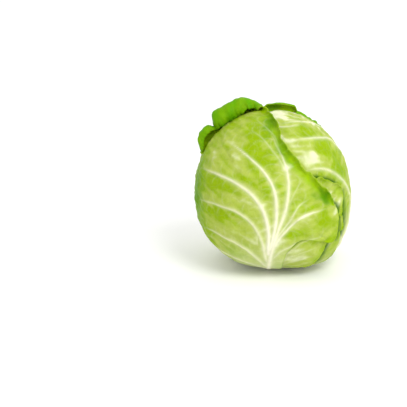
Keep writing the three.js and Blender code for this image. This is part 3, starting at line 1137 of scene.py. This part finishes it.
RIGHT_RIBS = (
    Rib(((-112, 0), (-85, 18), (-58, 32), (-30, 42), (-5, 46), (20, 44), (40, 36)),
        width=7.0, height=2.6, end_share=0.12),
    Rib(((-22, 44), (-6, 34), (3, 24), (7, 20), (11, 2), (16, -14), (20, -26)),
        width=3.4, height=1.1, end_share=0.6, rank=0.7),
    Rib(((-50, 35), (-36, 24), (-24, 10), (-14, -4), (-9, -17), (-7, -30)),
        width=3.2, height=1.0, end_share=0.6, rank=0.7),
    Rib(((2, 46), (14, 36), (22, 24), (27, 8), (33, -6), (38, -18)),
        width=3.0, height=0.9, end_share=0.5, rank=0.8),
    Rib(((-75, 24), (-62, 10), (-52, -8), (-46, -26)), width=3.4, height=1.2, rank=0.8),
    Rib(((24, 44), (36, 30), (44, 16), (52, 4), (58, -6)), width=2.6, height=0.8, end_share=0.5, rank=0.7),
    Rib(((-40, 38), (-30, 54), (-22, 72), (-18, 84)), width=3.4, height=1.1, rank=0.8),
    Rib(((-15, 45), (0, 58), (12, 70), (20, 78)), width=3.2, height=1.0, rank=0.8),
    Rib(((8, 46), (24, 54), (38, 60)), width=2.8, height=0.8, rank=0.7),
    Rib(((-65, 29), (-58, 48), (-54, 68)), width=3.4, height=1.1, rank=0.8),
    Rib(((60, -3), (46, -7), (36, -4), (28, 6)), width=2.2, height=1.1, end_share=0.7, rank=0.75),
    Rib(((57, -1), (45, 2), (36, 5), (29, 12)), width=2.0, height=1.0, end_share=0.7, rank=0.6),
    Rib(((52, -14), (42, -17), (32, -14), (25, 2)), width=2.0, height=0.9, end_share=0.7, rank=0.6),
)
RIGHT_BLOTS = (
    Blot(2, -18, 15, 11, 160, milk_and_light=1.5),
    Blot(20, -22, 13, 5, 165, milk_and_light=1.0),
    Blot(20, 17, 14, 3.5, 178, milk_and_light=1.6),
    # Painted highlight: a large white patch high on the leaf.
    Blot(55, -6, 15, 15, milk_and_light=3.6),
    Blot(20, -2, 5, 5, milk_and_light=-1.2),
    Blot(2, 4, 10, 7, 125, milk_and_light=-1.3),
    Blot(-17, 12, 9, 6, 160, milk_and_light=-1.3, deep_green_and_shade=0.25),
    Blot(40, -9, 10, 3, 170, milk_and_light=-1.0),
)


def wrapper_leaves() -> list[Leaf]:
    """The wrapper leaves, innermost first.

    Returns:
        The leaves in stacking order.
    """
    return [
        Leaf("wrapper_leaf_back_left", 232, 18,
             ((0, 78), (40, 74), (80, 72), (120, 66), (150, 70), (180, 108 - STALK_GAP), (207, 72),
              (235, 64), (275, 70), (320, 80)), seed=3, cells=150),
        Leaf("wrapper_leaf_back_right", 150, 16,
             ((0, 84), (40, 76), (80, 66), (115, 62), (150, 68), (180, 106 - STALK_GAP), (206, 74),
              (235, 66), (275, 68), (320, 76)), seed=4, midrib_lean=4, cells=170),
        Leaf("wrapper_leaf_left", 284, 14,
             ((0, 74), (40, 66), (80, 62), (120, 60), (152, 68), (180, 104 - STALK_GAP), (208, 70),
              (240, 62), (280, 66), (320, 70)), seed=5, midrib_lean=-5, cells=170),
        Leaf("wrapper_leaf_right", 55, 38,
             ((-90, 46), (-60, 50), (-34, 54), (-14, 62), (0, 68), (7, 65.5), (12, 60.5), (18, 55),
              (24, 50.5), (31, 48.5), (40, 50.5), (52, 55), (75, 66), (100, 76), (125, 84), (150, 96),
              (168, 104), (180, 128 - STALK_GAP), (194, 96), (215, 70), (240, 54)),
             rolls=(Roll(5, 31, 17, 215, 5, 6),), ribs=RIGHT_RIBS, blots=RIGHT_BLOTS, seed=6),
        Leaf("wrapper_leaf_lower_right", 40, -14,
             ((-60, 44), (-30, 38), (-13, 33), (4, 30), (25, 27.8), (42, 26.3), (54, 23.8), (71, 18.5),
              (101, 18.3), (125, 22), (140, 30), (160, 48), (180, 76 - STALK_GAP), (205, 56), (235, 48),
              (270, 46)),
             rolls=(Roll(-22, 124, 4.5, 60, gap=8), Roll(50, 132, 2.5, 4, 8, 8, gap=24)),
             # A pale milky patch that is partly painted light.
             blots=(Blot(12, 4, 14, 12, milk_and_light=1.3),), seed=7, cells=160, vigour=0.6),
        Leaf("wrapper_leaf_back", 192, 2,
             ((0, 57), (30, 56), (60, 58), (90, 56), (122, 56), (152, 64), (180, 92 - STALK_GAP),
              (208, 66), (238, 58), (270, 60), (300, 60), (330, 56)),
             rolls=(Roll(-88, -2, 14, 140),), seed=8, midrib_lean=6),
        Leaf("wrapper_leaf_bottom", 10, -40,
             ((0, 22), (36, 24), (60, 29), (73, 29.5), (84, 27.3), (98, 24), (110, 22), (124, 21),
              (147, 22), (165, 28), (180, 50 - STALK_GAP), (200, 30), (240, 30), (280, 32), (320, 28)),
             rolls=(Roll(66, 138, 3.5, 70, 8, 8, gap=15),),
             # A pale milky patch that is partly painted light.
             blots=(Blot(-2, 10, 14, 12, milk_and_light=1.4),), seed=9, cells=130, vigour=0.35),
        Leaf("wrapper_leaf_front", -12, 12,
             ((-90, 80), (-66, 81), (-47, 84), (-33, 86.5), (-19, 88), (-10, 83), (-4, 69), (2, 57),
              (9, 47.5), (21, 37.5), (34, 33.7), (47, 33), (60, 34), (72, 37.5), (84, 43.5), (92, 50),
              (98, 58), (104, 64.5), (112, 66.5), (119, 68), (124, 68.5), (128, 60), (132, 52.5),
              (138, 48.5), (145, 47.5), (151, 48.5), (157, 51.5), (163, 58), (169, 71),
              (180, 102 - STALK_GAP), (198, 74), (216, 68), (240, 76)),
             rolls=(Roll(-49, -3, 52, 320, 8, 21), Roll(-69, -44, 36, 300, 13, 5),
                    Roll(-8, 102, 9, 105, 8, 10), Roll(104, 127, 4.5, 60, 6, 3),
                    Roll(94, 129, 2.5, 4, 4, 4, gap=25)),
             ribs=FRONT_RIBS, blots=FRONT_BLOTS, seed=2, cells=215),
    ]


def head_stack() -> LeafStack:
    """All the leaves of this head, nested."""
    inner = [inner_leaf(number, azimuth) for number, azimuth in enumerate((20, 157, 295, 72), start=1)]
    return LeafStack([*inner, *wrapper_leaves()])


# ---- studio -------------------------------------------------------------------------------------


@dataclass(frozen=True)
class Studio:
    """Pale floor, white surroundings, soft overhead light and the camera."""

    floor_size: float = 40.0
    camera_elevation: float = 17.0
    camera_distance: float = 2.6
    frame_width: float = 0.4415
    object_right: float = 0.0743
    object_up: float = 0.0179

    def floor(self) -> None:
        """Lay the floor."""
        bm = bmesh.new()
        bmesh.ops.create_grid(bm, x_segments=1, y_segments=1, size=self.floor_size / 2)
        mesh = bpy.data.meshes.new("floor")
        bm.to_mesh(mesh)
        bm.free()
        floor = bpy.data.objects.new("floor", mesh)
        bpy.context.scene.collection.objects.link(floor)
        paper = bpy.data.materials.new("white_backdrop_paper")
        paper.use_nodes = True
        skin = paper.node_tree.nodes["Principled BSDF"]
        skin.inputs["Base Color"].default_value = linear("#f6f6f5")
        skin.inputs["Roughness"].default_value = 0.9
        skin.inputs["Specular IOR Level"].default_value = 0.1
        mesh.materials.append(paper)

    def lights(self, centre: Vector) -> None:
        """Hang the lights round the middle of the object.

        Args:
            centre: Middle of the object.
        """
        world = bpy.data.worlds.new("studio")
        bpy.context.scene.world = world
        world.use_nodes = True
        world.node_tree.nodes["Background"].inputs["Color"].default_value = (1, 1, 1, 1)
        world.node_tree.nodes["Background"].inputs["Strength"].default_value = 1.0
        places = (("key", (0.55, -0.95, 1.15), 0.8, 12.0), ("fill", (1.1, -1.1, 0.1), 0.9, 2.5),
                  ("back", (0.2, 1.3, 1.2), 1.0, 3.0))
        for name, offset, size, power in places:
            lamp = bpy.data.lights.new(name, "AREA")
            lamp.shape = "DISK"
            lamp.size = size
            lamp.energy = power
            holder = bpy.data.objects.new(name, lamp)
            holder.location = centre + Vector(offset)
            holder.rotation_euler = (-Vector(offset)).to_track_quat("-Z", "Y").to_euler()
            bpy.context.scene.collection.objects.link(holder)

    def camera(self, centre: Vector) -> None:
        """Set the camera low in front, with the object to the right of the middle.

        Args:
            centre: Middle of the ball.
        """
        tilt = math.radians(self.camera_elevation)
        up = Vector((0, math.sin(tilt), math.cos(tilt)))
        aim = centre - Vector((self.object_right, 0, 0)) - up * self.object_up
        back = Vector((0, -math.cos(tilt), math.sin(tilt)))
        lens = bpy.data.cameras.new("camera")
        lens.sensor_width = 36
        lens.lens = 36 * self.camera_distance / self.frame_width
        lens.clip_end = 100
        holder = bpy.data.objects.new("camera", lens)
        holder.location = aim + back * self.camera_distance
        holder.rotation_euler = (-back).to_track_quat("-Z", "Y").to_euler()
        bpy.context.scene.collection.objects.link(holder)
        bpy.context.scene.camera = holder

    def exposure(self) -> None:
        """Show colours as they are lit, with no film curve."""
        settings = bpy.context.scene.view_settings
        settings.view_transform = "Standard"
        settings.look = "None"
        settings.exposure = 0.0


# ---- putting it together --------------------------------------------------------------------------


def place(piece: bpy.types.Object, node: str, slot: str) -> None:
    """Ride a piece on the body and let it stand for its CAD node.

    Args:
        piece: Visual piece.
        node: CAD node it stands for.
        slot: Colour slot; not used.
    """
    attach(piece, "root")
    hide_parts(node)
    LOG.info("%s stands for %s: %d corners", piece.name, node, len(piece.data.vertices))


def main() -> None:
    """Build every piece in order, then the studio."""
    logging.basicConfig(level=logging.INFO, format="%(message)s")
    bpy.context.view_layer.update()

    stack = head_stack()
    outer_face = LeafFinish("cabbage_leaf_outer_face_waxed", vivid="#8aa800", milky="#a6b64b",
                            bloom_and_highlight="#dbdfb4", rib="#f0ecd4", margin="#90b400", base="#cfd8a0",
                            gap="#3a6602", deep_green_and_shade="#588c00").build()
    inner_face = LeafFinish("cabbage_leaf_inner_face", vivid="#68a002", milky="#86b010",
                            bloom_and_highlight="#aecb50", rib="#a4c448", margin="#6a9c02", base="#c0d07e",
                            gap="#345c02", deep_green_and_shade="#5a9c02", milkiness=-0.1).build()
    blanched = LeafFinish("cabbage_leaf_blanched", vivid="#dfe39a", milky="#edeec2", bloom_and_highlight="#f5f4da",
                          rib="#f6f5dc", margin="#dce59c", base="#f3f2dc", gap="#a9ad5e", deep_green_and_shade="#c8d672",
                          milkiness=0.1).build()
    for order, leaf in enumerate(stack.leaves):
        inner = leaf.place is Place.INNER
        faces = (blanched, blanched) if inner else (outer_face, inner_face)
        piece = LeafPiece(stack, order, *faces).build()
        place(piece, leaf.name, "inner_leaf" if inner else "wrapper_leaf")
    place(Stalk().build(CutStalkFinish().build()), "stalk", "core")
    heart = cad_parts["heart"]
    for slot in heart.material_slots:
        slot.material = blanched
    LOG.info("heart keeps its packed shape")

    studio = Studio()
    studio.floor()
    centre = Vector((0, 0, stack.shape.centre_z * MM))
    studio.lights(centre)
    studio.camera(centre)
    studio.exposure()

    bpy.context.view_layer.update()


if __name__ == "__main__":
    main()
